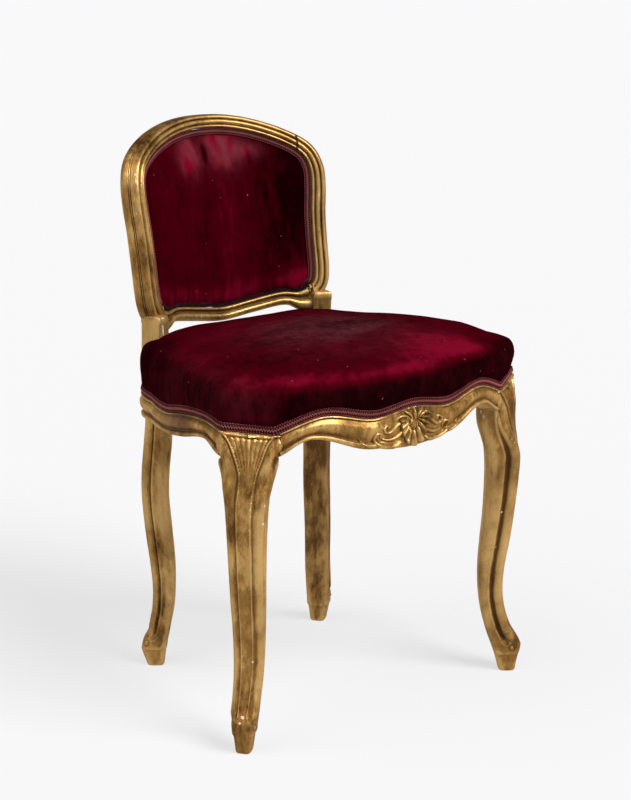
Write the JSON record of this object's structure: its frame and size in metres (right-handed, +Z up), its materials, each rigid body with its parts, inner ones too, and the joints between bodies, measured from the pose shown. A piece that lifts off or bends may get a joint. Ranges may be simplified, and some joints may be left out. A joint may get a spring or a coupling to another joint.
{
  "type": "giltwood side chair",
  "caption": "Giltwood side chair in Louis XV taste, with cabriole legs, serpentine rails, a carved shell and a curved back, upholstered in crimson velvet edged with gimp.",
  "frame": {"origin": "on the floor, under the middle of the overall bounding box", "axes": "+Z up, the sitter faces -Y, and X runs across the chair, +X to the right of somebody looking along +Y at its front"},
  "size_m": [0.4974, 0.4717, 0.7322],
  "materials": {
    "gilt_wood": "carved wood with worn gilding, brown patina in the hollows and white gesso showing at chips",
    "crimson_velvet": "deep crimson velvet with a worn, brushed nap",
    "gimp_braid": "dusty rose-brown woven gimp braid",
    "hessian": "coarse brown hessian, frayed at the edge"
  },
  "bodies": {
    "root": {"leg_front_right": "gilt_wood", "leg_front_left": "gilt_wood", "leg_back_right": "gilt_wood", "leg_back_left": "gilt_wood", "seat_rail_front": "gilt_wood", "seat_rail_right": "gilt_wood", "seat_rail_left": "gilt_wood", "seat_rail_back": "gilt_wood", "back_crest_rail": "gilt_wood", "back_lower_rail": "gilt_wood", "seat_pad": "crimson_velvet", "back_pad": "crimson_velvet", "back_outside_cover": "crimson_velvet", "seat_gimp": "gimp_braid", "back_gimp": "gimp_braid", "seat_bottom_cloth": "hessian"}
  },
  "joints": []
}
